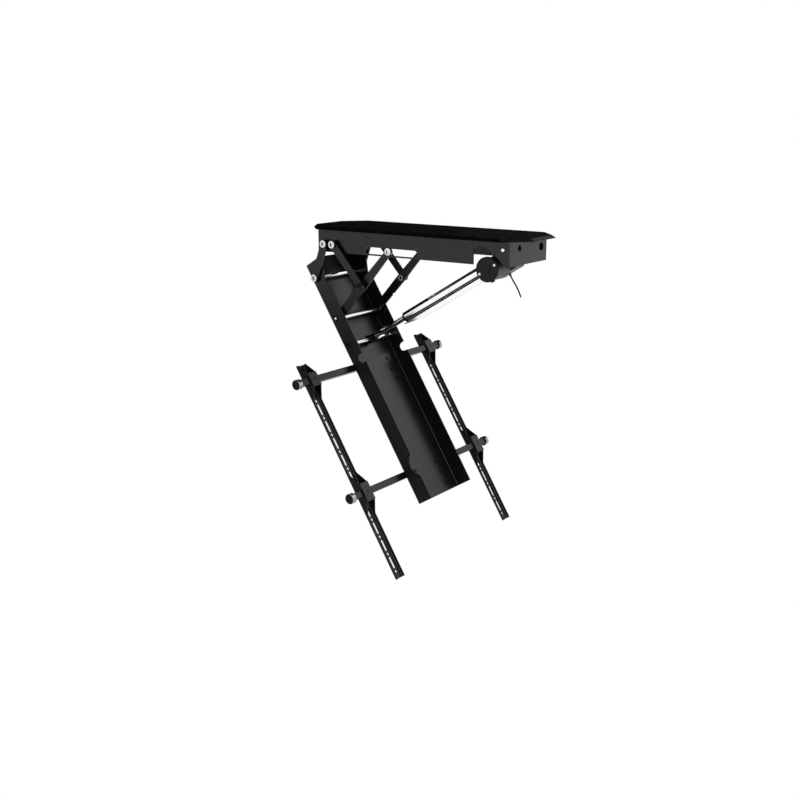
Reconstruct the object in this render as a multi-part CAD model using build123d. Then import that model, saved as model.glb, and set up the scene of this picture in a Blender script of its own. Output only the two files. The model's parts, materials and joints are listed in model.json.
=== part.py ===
from build123d import *
import os
from math import atan2, cos, degrees, hypot, pi, radians, sin, sqrt, tan

# Motorized drop-down screen mount for a ceiling, in millimetres.
# +Z is up and z = 0 is the ceiling, x = y = 0 is the middle of the ceiling plate.
# +X points to the motor end. The two sides of the mechanism are mirror images in y.
# It is modelled part open: the arm has swung down from flat under the ceiling.

# Clearances
running_gap = 0.05      # radial, pin in a bore that turns on it
fixed_gap = 0.02        # radial, bolt or shaft that doesn't turn in its hole
side_gap = 0.3          # between parts that pass or stand beside each other
slot_gap = 1.0          # roller in its slot, each side
bar_gap = 0.1           # crossbar in the blocks and ears that hold it
sheet = 3.0             # steel of the plate, the housing and the arm
bend_radius = 5.0       # outer radius of the folds

# Ceiling plate: a shallow octagonal tray with a sloped rim
plate_length = 740.0
plate_width = 254.0
rim_run = 10.0
rim_drop = 8.0
rim_corner_x = 62.0
rim_corner_y = 66.0
ceiling_bolt_x = 480.0
ceiling_bolt_y = 120.0
ceiling_hole_radius = 5.0
plate_screw_x = 205.0
plate_screw_y = 140.0
plate_screw_radius = 3.0

# Housing: a top, two sides and an end, open below and at the link end
housing_length = 642.0
housing_width = 200.0
housing_depth = 74.0
end_seam = 1.0          # between the end wall and each side wall
vent_hole_x = (-140.9, -65.9, 9.1)
vent_hole_z = -22.4
vent_hole_radius = 2.6
slot_start = 111.4      # from the lift pivot
slot_end = 289.6
slot_height = 19.0
end_holes = ((-47.0, -29.0, 8.5), (70.6, -34.0, 11.5))  # y, z and radius of the cable holes
motor_notch_start = -89.8   # x from the rear pin
motor_notch_top = -25.5
motor_notch_round = 14.0
motor_notch_arc = ((-58.8, motor_notch_top), (-32.3, -39.5), (5.2, -housing_depth))  # x from the rear pin, z

# Linkage, in the plane of the side walls
front_pivot_inset = 29.1    # from the housing's link end
lift_pivot_inset = 60.9
pivot_z = -50.3
slot_z = -60.2
lift_link_length = 148.6
scissor_upper = 135.9
scissor_lower = 143.0
front_link_length = 108.6
arm_pivot_spacing = 135.3
lift_angle = 48.3       # lift link below horizontal, as modelled
fold_turn = -37.0       # turn of the lift link to the folded stop
open_turn = 3.5         # turn of the lift link to the open stop
link_thickness = 5.0
link_radius = 12.0
scissor_slot_radius = 9.5
scissor_elbow_radius = 13.5
lift_elbow_radius = 10.5
link_gap = 2.0          # between the arm's walls and the outer links
scissor_gap = 1.0       # between the housing's walls and the scissor links
pivot_radius = 6.0
elbow_radius = 5.0
elbow_head_radius = 9.0
head_radius = 12.0
head_height = 4.5
slot_head_height = 1.5
socket_size = 10.0
socket_depth = 3.0
nut_radius = 9.2
nut_height = 3.5
spacer_radius = 8.8

# Swing arm: one folded channel, as distances along it and across it from its upper rod
arm_width = 210.0
arm_start = -47.0
arm_end = 729.0
arm_floor = -17.0
arm_edge = 35.0
arm_top_edge = 45.0
arm_neck_start = -9.0
arm_neck_edge = 39.0
arm_waist_start = 21.0
arm_waist_end = 40.0
arm_waist_edge = 26.0
arm_step = 4.0
arm_corner = 4.0
elbow_notch_gap = 5.0
motor_notch_gap = 6.5
rod_radius = 7.5
rod_end_radius = 4.0
rod_nut_radius = 9.5
rod_nut_height = 1.6
ram_pin_along = 220.7
ram_pin_across = 1.0
ram_neck_radius = 3.5
ram_neck_gap = 1.0

# Crossbars under the arm and the rails that they carry
upper_bar_along = 288.0
lower_bar_along = 635.0
bar_size = 20.0
bar_wall = 2.0
bar_round = 2.5
bar_overhang = 53.0     # each end, past the middle of its rail
bar_cap_radius = 14.5
bar_cap_length = 14.0
bar_cap_recess = 5.0
bar_plug_length = 8.0
saddle_y = 55.0
saddle_width = 24.0
saddle_wrap = 4.0
saddle_foot = 84.0
saddle_foot_thickness = 4.0
saddle_screw_pitch = 34.5
saddle_screw_radius = 3.0
saddle_head_radius = 5.0
saddle_head_height = 2.5
rail_spacing = 575.0
rail_width = 35.0
rail_sheet = 2.5
rail_start = 234.0
rail_end = 889.0
rail_face = -45.0
rail_low_edge = -35.5
clamp_face = -12.0
upper_clamp_length = 41.0
lower_clamp_length = 54.0
ear_slope = 35.0
rail_hole_start = 345.0
rail_hole_pitch = 52.3
rail_hole_count = 11
rail_hole_radius = 3.75
rail_slot_length = 34.0
clamp_screw_radius = 2.4
clamp_screw_recess = 2.0

# Linear actuator, as distances along its tube from the rear pin and below the tube's axis
rear_pin_inset = 20.2   # from the housing's end
rear_pin_z = -30.2
rear_pin_radius = 5.0
rear_pin_end = 1.5
rear_spacer_radius = 8.0
gearbox_half_width = 22.0
gearbox_front = 100.0
gearbox_rear = -10.0
gearbox_top = -16.0
gearbox_bottom = 44.0
gearbox_round = 3.0
gearbox_chamfer = 10.0
gearbox_foot = 34.0
gearbox_heel = (-2.0, 26.0)
gearbox_nose = 14.0
gear_cover_radius = 21.0
gear_cover_nose = (30.0, 6.0)
gear_cover_nose_radius = 14.0
gear_cover_height = 7.0
motor_along = 71.0
motor_below = 21.5
motor_radius = 31.0
motor_end = 90.0
motor_cap_radius = 34.0
motor_cap_thickness = 6.5
motor_screw_circle = 26.0
motor_screw_radius = 3.4
motor_screw_height = 1.5
motor_ring_radius = 12.0
motor_ring_width = 2.2
motor_ring_depth = 2.0
motor_tab_width = 10.0
motor_tab_height = 3.0
tube_radius = 15.5
tube_bore = 12.0
tube_end = 437.0
front_cap_length = 8.0
ram_radius = 8.0
ram_bore = 5.8
ram_inner_end = 320.0
ram_bore_end = 560.0
screw_radius = 5.0
screw_end = 415.0
drive_nut_length = 25.0
eye_radius = 13.0
eye_half_width = 10.0
eye_pin_radius = 7.0
eye_pin_reach = 17.0
eye_shank_radius = 10.0
eye_shank_length = 16.0
profile_top = 15.8
profile_bottom = 30.0
profile_nose_top = 454.0
profile_nose_bottom = 382.0
profile_width = 22.0

# Motor lead: a short free cable with a bare end
lead_radius = 2.0
lead_gland_radius = 4.0
lead_gland_length = 10.0
lead_tip_radius = 0.9
lead_tip_length = 4.0
lead_exit_along = 71.0
lead_exit_y = 3.0
lead_route = ((71.0, 67.0, 3.0), (69.4, 83.0, 3.7), (69.9, 101.0, 4.8), (72.4, 116.0, 5.2))  # along, below, y

# Control box and its fixings, inside the housing
box_x = 62.0
box_y = 32.0
box_length = 118.0
box_width = 50.0
box_height = 24.0
box_wall = 2.0
box_lid = 2.0
box_screw_radius = 1.5


# Positions that follow from the sizes above
wall_outer = housing_width / 2
wall_inner = wall_outer - sheet
arm_outer = arm_width / 2
arm_inner = arm_outer - sheet
link_inner = arm_outer + link_gap
link_outer = link_inner + link_thickness
scissor_outer = wall_inner - scissor_gap
scissor_inner = scissor_outer - link_thickness
housing_end = housing_length / 2
front_pivot = (front_pivot_inset - housing_end, pivot_z)
lift_pivot = (lift_pivot_inset - housing_end, pivot_z)
rear_pin = (housing_end - rear_pin_inset, rear_pin_z)
bar_half_length = rail_spacing / 2 + bar_overhang


def link_circle_meet(center_a, radius_a, center_b, radius_b):
    """Left-hand meeting point of two circles, as x and z."""
    span_x = center_b[0] - center_a[0]
    span_z = center_b[1] - center_a[1]
    span = hypot(span_x, span_z)
    foot = (radius_a**2 - radius_b**2 + span**2) / (2 * span)
    rise = sqrt(radius_a**2 - foot**2)
    base_x = center_a[0] + span_x / span * foot
    base_z = center_a[1] + span_z / span * foot
    meets = [(base_x + turn * rise * -span_z / span, base_z + turn * rise * span_x / span) for turn in (1, -1)]
    return min(meets)


def solve_linkage(angle):
    """Pins of the linkage when the lift link stands this many degrees below horizontal."""
    elbow = (lift_pivot[0] + lift_link_length * cos(radians(angle)),
             lift_pivot[1] - lift_link_length * sin(radians(angle)))
    slot_pin = (elbow[0] + sqrt(scissor_upper**2 - (slot_z - elbow[1])**2), slot_z)
    share = scissor_lower / scissor_upper
    lower_rod = (elbow[0] + (elbow[0] - slot_pin[0]) * share, elbow[1] + (elbow[1] - slot_pin[1]) * share)
    upper_rod = link_circle_meet(front_pivot, front_link_length, lower_rod, arm_pivot_spacing)
    return elbow, slot_pin, lower_rod, upper_rod


def direction(start, end):
    """Unit vector from one point to another, as x and z."""
    span = hypot(end[0] - start[0], end[1] - start[1])
    return (end[0] - start[0]) / span, (end[1] - start[1]) / span


def locate(frame, along, across):
    """A point of a frame as x and z: along its direction, and across it."""
    (origin_x, origin_z), (step_x, step_z) = frame
    return origin_x + along * step_x - across * step_z, origin_z + along * step_z + across * step_x


def measure(frame, point):
    """The along and across values of a point given as x and z."""
    (origin_x, origin_z), (step_x, step_z) = frame
    gap_x = point[0] - origin_x
    gap_z = point[1] - origin_z
    return gap_x * step_x + gap_z * step_z, gap_z * step_x - gap_x * step_z


elbow, slot_pin, lower_rod, upper_rod = solve_linkage(lift_angle)
folded_elbow, folded_slot, folded_lower, folded_upper = solve_linkage(lift_angle + fold_turn)
world = ((0.0, 0.0), (1.0, 0.0))
arm = (upper_rod, direction(upper_rod, lower_rod))
folded_arm = (folded_upper, direction(folded_upper, folded_lower))
ram_pin = locate(arm, ram_pin_along, ram_pin_across)
folded_ram_pin = locate(folded_arm, ram_pin_along, ram_pin_across)
ram = (rear_pin, direction(rear_pin, ram_pin))
folded_ram = (rear_pin, direction(rear_pin, folded_ram_pin))
ram_length = hypot(ram_pin[0] - rear_pin[0], ram_pin[1] - rear_pin[1])
elbow_notch = measure(folded_arm, folded_elbow)
motor_notch = measure(folded_arm, locate(folded_ram, motor_along, motor_below))
bar_across = arm_floor - bar_size / 2 - bar_gap


def side_plane(frame, y):
    """Sketch plane at a given y, whose sketches rise towards -Y."""
    (origin_x, origin_z), (step_x, step_z) = frame
    return Plane(origin=(origin_x, y, origin_z), x_dir=(step_x, 0, step_z), z_dir=(0, -1, 0))


def section_plane(frame, along):
    """Sketch plane square to a frame's direction, with y first and across second."""
    (step_x, step_z) = frame[1]
    point = locate(frame, along, 0)
    return Plane(origin=(point[0], 0, point[1]), x_dir=(0, 1, 0), z_dir=(step_x, 0, step_z))


def prism(frame, sketch, low_y, high_y):
    """A sketch of a frame's side view, made solid between two values of y."""
    return extrude(side_plane(frame, high_y) * sketch, high_y - low_y)


def disc(frame, at, radius, low_y, high_y):
    """A cylinder along y."""
    return prism(frame, Pos(*at) * Circle(radius), low_y, high_y)


def face_disc(frame, at, radius, low, high):
    """A cylinder across a frame, at an along value and a y, between two across values."""
    along, y = at
    (step_x, step_z) = frame[1]
    point = locate(frame, along, low)
    plane = Plane(origin=(point[0], y, point[1]), x_dir=(step_x, 0, step_z), z_dir=(-step_z, 0, step_x))
    return extrude(plane * Circle(radius), high - low)


def far_side(solid):
    """The mirror image of a near-side piece."""
    return mirror(solid, about=Plane.XZ)


def both_sides(*solids):
    """Near-side pieces with their mirror images."""
    return [piece for solid in solids for piece in (solid, far_side(solid))]


def outline(*points):
    """A closed outline with straight sides."""
    return make_face(Polyline(*points, close=True))


def channel(frame, start, end, half_width, floor, edge, wall, center_y=0.0):
    """A folded channel: its floor's outer face is at floor, and its walls end at edge."""
    outer = Pos(center_y, (floor + edge) / 2) * Rectangle(2 * half_width, edge - floor)
    outer = fillet(outer.vertices().group_by(Axis.Y)[0], bend_radius)
    inner = Pos(center_y, (floor + wall + edge) / 2) * Rectangle(2 * (half_width - wall), edge - floor - wall)
    inner = fillet(inner.vertices().group_by(Axis.Y)[0], bend_radius - wall)
    return extrude(section_plane(frame, start) * (outer - inner), end - start)


def button_head(frame, at, face_y, radius, height, socket, depth):
    """A round bolt head that stands out towards -Y from face_y, with a six-sided socket."""
    head = disc(frame, at, radius, face_y - height, face_y)
    rim = head.edges().filter_by(GeomType.CIRCLE).group_by(Axis.Y)[0]
    head = fillet(rim, min(1.2, height / 2))
    recess = Pos(*at) * RegularPolygon(socket / 2, 6, major_radius=False)
    return head - prism(frame, recess, face_y - height, face_y - height + depth)


def ring(frame, at, outer, bore, low_y, high_y):
    """A plain washer or bush along y."""
    return disc(frame, at, outer, low_y, high_y) - disc(frame, at, bore, low_y, high_y)


def link_plate(points, radii, bores, low_y, high_y):
    """A flat link whose ends and middle are round, drawn round circles at its pins."""
    blanks = [Pos(*point) * Circle(radius) for point, radius in zip(points, radii)]
    shape = Sketch() + [make_hull((first + second).edges()) for first, second in zip(blanks, blanks[1:])]
    for point, bore in zip(points, bores):
        shape -= Pos(*point) * Circle(bore)
    return prism(world, shape, low_y, high_y)


def tray(drop):
    """The ceiling plate's outer form, lowered by drop."""
    half_x = plate_length / 2
    half_y = plate_width / 2
    quarter = [(half_x, half_y - rim_corner_y), (half_x - rim_corner_x, half_y)]
    points = quarter + [(-x, y) for x, y in reversed(quarter)]
    foot = outline(*points, *[(-x, -y) for x, y in points])
    top = offset(foot, -rim_run, kind=Kind.INTERSECTION)
    return loft([Pos(0, 0, -drop) * top, Pos(0, 0, -drop - rim_drop) * foot])


def grid(spacing_x, spacing_y):
    """The four corners of a rectangle of holes."""
    return [(x * spacing_x / 2, y * spacing_y / 2) for x in (-1, 1) for y in (-1, 1)]


def upright(at, radius, low, high):
    """A cylinder along z."""
    return extrude(Pos(at[0], at[1], low) * Circle(radius), high - low)


plate_screws_at = [(x, y) for x, y in grid(2 * plate_screw_x, plate_screw_y)] + [
    (0.0, -plate_screw_y / 2), (0.0, plate_screw_y / 2)]


def build_ceiling_plate():
    plate = tray(0) - tray(sheet)
    for at in grid(ceiling_bolt_x, ceiling_bolt_y):
        plate -= upright(at, ceiling_hole_radius, -sheet, 0)
    for at in plate_screws_at:
        plate -= upright(at, plate_screw_radius + fixed_gap, -sheet, 0)
    return plate


def build_housing_top():
    plate = Pos(0, 0, -1.5 * sheet) * Box(housing_length, 2 * wall_inner, sheet)
    for at in grid(ceiling_bolt_x, ceiling_bolt_y):
        plate -= upright(at, ceiling_hole_radius, -2 * sheet, -sheet)
    for at in plate_screws_at:
        plate -= upright(at, plate_screw_radius + fixed_gap, -2 * sheet, -sheet)
    return plate


def build_housing_side():
    """The near wall, without the motor's notch."""
    wall = outline((-housing_end, -housing_depth), (housing_end, -housing_depth),
                   (housing_end, -sheet), (-housing_end, -sheet))
    wall = fillet(wall.vertices().group_by(Axis.Y)[-1], bend_radius)
    for x in vent_hole_x:
        wall -= Pos(x, vent_hole_z) * Circle(vent_hole_radius)
    slot_middle = lift_pivot[0] + (slot_start + slot_end) / 2
    wall -= Pos(slot_middle, slot_z) * SlotOverall(slot_end - slot_start, slot_height)
    for pivot in (front_pivot, lift_pivot):
        wall -= Pos(*pivot) * Circle(pivot_radius + fixed_gap)
    wall -= Pos(*rear_pin) * Circle(rear_pin_radius + fixed_gap)
    return prism(world, wall, -wall_outer, -wall_inner)


def motor_notch_cut():
    """The notch in the near wall for the motor's cap."""
    start_x = rear_pin[0] + motor_notch_start
    arc_start, arc_middle, arc_end = [(rear_pin[0] + x, z) for x, z in motor_notch_arc]
    corner = (start_x + motor_notch_round, motor_notch_top)
    side = (start_x, motor_notch_top - motor_notch_round)
    edge = Curve() + [
        Line((start_x, -housing_depth), side),
        TangentArc(side, corner, tangent=(0, 1)),
        Line(corner, arc_start),
        ThreePointArc(arc_start, arc_middle, arc_end),
        Line(arc_end, (start_x, -housing_depth)),
    ]
    return prism(world, make_face(edge), -wall_outer, -wall_inner)


def build_housing_end():
    half_width = wall_inner - end_seam
    wall = Pos(0, -(housing_depth + sheet) / 2) * Rectangle(2 * half_width, housing_depth - sheet)
    wall -= Pos(0, -1.5 * sheet) * Rectangle(2 * half_width, sheet)
    for y, z, radius in end_holes:
        wall -= Pos(y, z) * Circle(radius)
    return extrude(Plane.YZ.offset(housing_end - sheet) * wall, sheet)


def build_plate_screws():
    web = -2 * sheet
    screws = []
    for at in plate_screws_at:
        head = upright(at, 2 * plate_screw_radius, web - plate_screw_radius, web)
        recess = Pos(at[0], at[1], web - plate_screw_radius) * RegularPolygon(plate_screw_radius / 1.5, 6)
        head -= extrude(recess, plate_screw_radius / 2)
        screws.append(head + upright(at, plate_screw_radius, web, -side_gap))
    return screws


def build_control_box():
    top = -2 * sheet
    center = (box_x + box_length / 2, box_y + box_width / 2)
    outer = Pos(center[0], center[1], top - box_height / 2) * Box(box_length, box_width, box_height)
    inner = Box(box_length - 2 * box_wall, box_width - 2 * box_wall, box_height - box_wall)
    shell = outer - Pos(center[0], center[1], top - box_wall - (box_height - box_wall) / 2) * inner
    corner_x = box_length / 2 - 3 * box_screw_radius
    corner_y = box_width / 2 - 3 * box_screw_radius
    lid = Pos(center[0], center[1], top - box_height - box_lid / 2) * Box(box_length, box_width, box_lid)
    screws = []
    for x, y in grid(2 * corner_x, 2 * corner_y):
        at = (center[0] + x, center[1] + y)
        boss = upright(at, 2.2 * box_screw_radius, top - box_height, top - box_wall)
        shell += boss - upright(at, box_screw_radius + fixed_gap, top - box_height, top - box_height / 2)
        lid -= upright(at, box_screw_radius + fixed_gap, top - box_height - box_lid, top - box_height)
        head = upright(at, 2 * box_screw_radius, top - box_height - box_lid - box_screw_radius,
                       top - box_height - box_lid)
        screws.append(head + upright(at, box_screw_radius, top - box_height - box_lid, top - box_height / 2))
    return shell, lid, screws


def build_pivot_shafts():
    shafts = []
    for pivot in (front_pivot, lift_pivot):
        shaft = disc(world, pivot, pivot_radius, -link_outer, link_outer)
        for low_y, high_y in ((-link_outer, -arm_outer), (arm_outer, link_outer)):
            shaft -= disc(world, pivot, rod_end_radius, low_y, high_y)
        shafts.append(shaft)
    return shafts


def build_pivot_spacers():
    return [piece for pivot in (front_pivot, lift_pivot) for piece in both_sides(
        ring(world, pivot, spacer_radius, pivot_radius + fixed_gap, -link_inner + side_gap, -wall_outer))]


def build_pivot_bolts():
    bolts = []
    for pivot in (front_pivot, lift_pivot):
        face = -link_outer - side_gap
        head = button_head(world, pivot, face, head_radius, head_height, socket_size, socket_depth)
        shank = disc(world, pivot, rod_end_radius - fixed_gap, face, -arm_outer - side_gap)
        bolts += both_sides(head + shank)
    return bolts


def build_rear_pin():
    end = wall_outer + rear_pin_end
    pin = disc(world, rear_pin, rear_pin_radius, -end, end)
    return chamfer(pin.edges().filter_by(GeomType.CIRCLE), 0.8)


def build_rear_spacers():
    near = ring(world, rear_pin, rear_spacer_radius, rear_pin_radius + fixed_gap,
                -wall_inner, -gearbox_half_width - side_gap)
    return both_sides(near)


def build_lift_link():
    bores = (pivot_radius + running_gap, elbow_radius + fixed_gap)
    return link_plate((lift_pivot, elbow), (link_radius, lift_elbow_radius), bores, -link_outer, -link_inner)


def build_elbow_bolts():
    head = button_head(world, elbow, -link_outer, elbow_head_radius, head_height, socket_size, socket_depth)
    shank = disc(world, elbow, elbow_radius, -link_outer, -scissor_inner + nut_height)
    return both_sides(head + shank)


def build_elbow_washers():
    bore = elbow_radius + fixed_gap
    outer = ring(world, elbow, spacer_radius, bore, -link_inner, -wall_outer - side_gap)
    inner = ring(world, elbow, spacer_radius, bore, -wall_inner + side_gap, -scissor_outer - side_gap)
    return both_sides(outer, inner)


def build_elbow_nuts():
    low_y = -scissor_inner + side_gap
    nut = prism(world, Pos(*elbow) * RegularPolygon(nut_radius, 6), low_y, low_y + nut_height - side_gap)
    return both_sides(nut - disc(world, elbow, elbow_radius, low_y, low_y + nut_height))


def build_scissor_link():
    radii = (scissor_slot_radius, scissor_elbow_radius, link_radius)
    bores = (pivot_radius + fixed_gap, elbow_radius + running_gap, rod_radius + running_gap)
    plate = link_plate((slot_pin, elbow, lower_rod), radii, bores, -scissor_outer, -scissor_inner)
    folded = (folded_lower, direction(folded_lower, folded_elbow))
    passing = measure(folded, folded_ram_pin)
    unfolded = (lower_rod, direction(lower_rod, elbow))
    return plate - disc(unfolded, passing, ram_neck_radius + ram_neck_gap, -scissor_outer, -scissor_inner)


def build_slot_bolts():
    face = -wall_outer - side_gap
    head = button_head(world, slot_pin, face, head_radius, slot_head_height, socket_size, slot_head_height)
    shank = disc(world, slot_pin, pivot_radius, face, -scissor_inner + nut_height)
    return both_sides(head + shank)


def build_slot_rollers():
    roller_radius = slot_height / 2 - slot_gap
    bore = pivot_radius + running_gap
    roller = ring(world, slot_pin, roller_radius, bore, -wall_outer - side_gap / 2, -wall_inner + side_gap)
    flange = ring(world, slot_pin, link_radius, bore, -wall_inner + side_gap, -scissor_outer - side_gap / 2)
    return both_sides(roller + flange)


def build_slot_nuts():
    low_y = -scissor_inner
    nut = prism(world, Pos(*slot_pin) * RegularPolygon(nut_radius, 6), low_y, low_y + nut_height)
    return both_sides(nut - disc(world, slot_pin, pivot_radius, low_y, low_y + nut_height))


def build_front_link():
    bores = (pivot_radius + running_gap, rod_end_radius + fixed_gap)
    return link_plate((front_pivot, upper_rod), (link_radius, link_radius), bores, -link_outer, -link_inner)


def build_front_bolts():
    head = button_head(world, upper_rod, -link_outer, head_radius, head_height, socket_size, socket_depth)
    shank = disc(world, upper_rod, rod_end_radius, -link_outer, -link_inner + side_gap)
    return both_sides(head + shank)


def build_swing_arm():
    reach = arm_top_edge
    body = channel(arm, arm_start, arm_end, arm_outer, arm_floor, reach, sheet)
    flange = Pos(0, (arm_floor + sheet + reach) / 2) * Rectangle(2 * arm_inner, reach - arm_floor - sheet)
    body += extrude(section_plane(arm, arm_start) * flange, sheet)
    above = outline(
        (arm_start, reach), (arm_neck_start, arm_neck_edge), (arm_waist_start, arm_waist_edge),
        (arm_waist_end, arm_waist_edge), (arm_waist_end + arm_step, arm_edge),
        (arm_end, arm_edge), (arm_end, reach))
    corners = [at for at in above.vertices() if at.Y < reach - arm_step and at.X < arm_end - arm_step]
    body -= prism(arm, fillet(corners, arm_corner), -arm_outer, arm_outer)
    elbow_clear = spacer_radius + elbow_notch_gap
    notch = Pos(*elbow_notch) * Circle(elbow_clear)
    notch += Pos(elbow_notch[0], (elbow_notch[1] + reach) / 2) * Rectangle(2 * elbow_clear, reach - elbow_notch[1])
    body -= prism(arm, notch, arm_inner, arm_outer)
    notch += Pos(*motor_notch) * Circle(motor_cap_radius + motor_notch_gap)
    body -= prism(arm, notch, -arm_outer, -arm_inner)
    for at in ((0.0, 0.0), measure(arm, lower_rod), (ram_pin_along, ram_pin_across)):
        for low_y, high_y in ((-arm_outer, -arm_inner), (arm_inner, arm_outer)):
            body -= disc(arm, at, rod_end_radius + fixed_gap, low_y, high_y)
    for at in saddle_screws_at():
        body -= face_disc(arm, at, saddle_screw_radius + fixed_gap, arm_floor, arm_floor + sheet)
    return body


def build_upper_rod():
    rod = disc(arm, (0, 0), rod_radius, -arm_inner, arm_inner)
    return rod + disc(arm, (0, 0), rod_end_radius, -arm_outer, arm_outer)


def build_lower_rod():
    at = measure(arm, lower_rod)
    end = arm_outer + rod_nut_height + side_gap
    return disc(arm, at, rod_radius, -arm_inner, arm_inner) + disc(arm, at, rod_end_radius, -end, end)


def build_rod_nuts():
    nuts = []
    for at in (measure(arm, lower_rod), (ram_pin_along, ram_pin_across)):
        nut = ring(arm, at, rod_nut_radius, rod_end_radius + fixed_gap, -arm_outer - rod_nut_height, -arm_outer)
        nuts += both_sides(nut)
    return nuts


def build_rod_collars():
    at = measure(arm, lower_rod)
    bore = rod_radius + fixed_gap
    outer = ring(arm, at, spacer_radius + 2, bore, -arm_inner, -scissor_outer - side_gap)
    inner = ring(arm, at, spacer_radius + 2, bore, -scissor_inner + side_gap, -scissor_inner + nut_height)
    return both_sides(outer, inner)


def build_ram_stubs():
    at = (ram_pin_along, ram_pin_across)
    stub = disc(arm, at, eye_pin_radius, -arm_inner, -eye_pin_reach - side_gap)
    stub -= ring(arm, at, eye_pin_radius, ram_neck_radius, -scissor_outer - ram_neck_gap, -scissor_inner + ram_neck_gap)
    end = arm_outer + rod_nut_height + side_gap
    return both_sides(stub + disc(arm, at, rod_end_radius, -end, -arm_inner))


def bar_positions():
    return (upper_bar_along, upper_clamp_length), (lower_bar_along, lower_clamp_length)


def saddle_screws_at():
    """Along and y of every saddle screw."""
    return [(along + step * saddle_screw_pitch, side * saddle_y)
            for along, _ in bar_positions() for step in range(3) for side in (-1, 1)]


def bar_form(along, wider, low_y, high_y):
    """A crossbar's outer form, wider by this much on each side, between two values of y."""
    size = bar_size + 2 * wider
    return prism(arm, Pos(along, bar_across) * RectangleRounded(size, size, bar_round + wider), low_y, high_y)


def build_crossbar(along):
    bar = bar_form(along, 0, -bar_half_length, bar_half_length)
    bar -= bar_form(along, -bar_wall, -bar_half_length, bar_half_length)
    for side in (-1, 1):
        bar -= face_disc(arm, (along, side * saddle_y), saddle_screw_radius + fixed_gap,
                         arm_floor - saddle_foot_thickness, arm_floor)
    return bar


def build_bar_caps():
    caps = []
    for along, _ in bar_positions():
        at = (along, bar_across)
        low_y = -bar_half_length - bar_cap_length
        cap = disc(arm, at, bar_cap_radius, low_y, -bar_half_length)
        cap = chamfer(cap.edges().filter_by(GeomType.CIRCLE), 1.5)
        cap -= disc(arm, at, bar_cap_recess, low_y, low_y + bar_cap_length / 3)
        cap += bar_form(along, -bar_wall - fixed_gap, -bar_half_length, -bar_half_length + bar_plug_length)
        caps += both_sides(cap)
    return caps


def build_saddle(along, y):
    wrap = bar_size / 2 + saddle_wrap
    low = bar_across - wrap
    shape = outline((along - wrap, arm_floor), (along - wrap, low), (along + wrap, low),
                    (along + wrap, arm_floor - saddle_foot_thickness),
                    (along + saddle_foot, arm_floor - saddle_foot_thickness), (along + saddle_foot, arm_floor))
    block = prism(arm, shape, y - saddle_width / 2, y + saddle_width / 2)
    block -= bar_form(along, bar_gap / 2, y - saddle_width / 2, y + saddle_width / 2)
    mouth = Pos(along, (bar_across + arm_floor) / 2) * Rectangle(bar_size + bar_gap, arm_floor - bar_across)
    block -= prism(arm, mouth, y - saddle_width / 2, y + saddle_width / 2)
    for step in range(3):
        at = (along + step * saddle_screw_pitch, y)
        block -= face_disc(arm, at, saddle_screw_radius + fixed_gap, arm_floor - saddle_foot_thickness, arm_floor)
    return block


def build_saddle_screws():
    inner_face = arm_floor + sheet
    screws = []
    for at in saddle_screws_at():
        head = face_disc(arm, at, saddle_head_radius, inner_face, inner_face + saddle_head_height)
        screws.append(head + face_disc(arm, at, saddle_screw_radius, arm_floor - saddle_foot_thickness, inner_face))
    return screws


def build_rail():
    center_y = -rail_spacing / 2
    half = rail_width / 2
    low_y = center_y - half
    high_y = center_y + half
    ear_edge = clamp_face - rail_sheet
    body = channel(arm, rail_start, rail_end, half, rail_face, ear_edge, rail_sheet, center_y)
    edge = [(rail_start, rail_low_edge)]
    for along, clamp_length in bar_positions():
        ear_start = along - clamp_length / 2
        ear_end = along + clamp_length / 2
        edge += [(ear_start - ear_slope, rail_low_edge), (ear_start, ear_edge),
                 (ear_end, ear_edge), (ear_end + ear_slope, rail_low_edge)]
    edge += [(rail_end, rail_low_edge)]
    edge = [point for point in edge if rail_start <= point[0] <= rail_end]
    cover = ear_edge + rail_sheet
    body -= prism(arm, outline(*edge, (rail_end, cover), (rail_start, cover)), low_y, high_y)
    for along, _ in bar_positions():
        body -= bar_form(along, bar_gap, low_y, high_y)
    plane_along = rail_hole_start
    for step in range(rail_hole_count):
        along = plane_along + step * rail_hole_pitch
        if clear_of_clamps(along, rail_hole_radius):
            body -= face_disc(arm, (along, center_y), rail_hole_radius, rail_face, rail_face + rail_sheet)
        middle = along + rail_hole_pitch / 2
        if step < rail_hole_count - 1 and clear_of_clamps(middle, rail_slot_length / 2):
            body -= rail_slot(middle, center_y)
    return body


def clear_of_clamps(along, reach):
    """Whether a hole keeps clear of the clamps and their slopes."""
    return all(abs(along - bar) > length / 2 + reach for bar, length in bar_positions())


def rail_slot(along, y):
    (step_x, step_z) = arm[1]
    point = locate(arm, along, rail_face)
    plane = Plane(origin=(point[0], y, point[1]), x_dir=(step_x, 0, step_z), z_dir=(-step_z, 0, step_x))
    return extrude(plane * SlotOverall(rail_slot_length, 2 * rail_hole_radius), rail_sheet)


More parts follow.
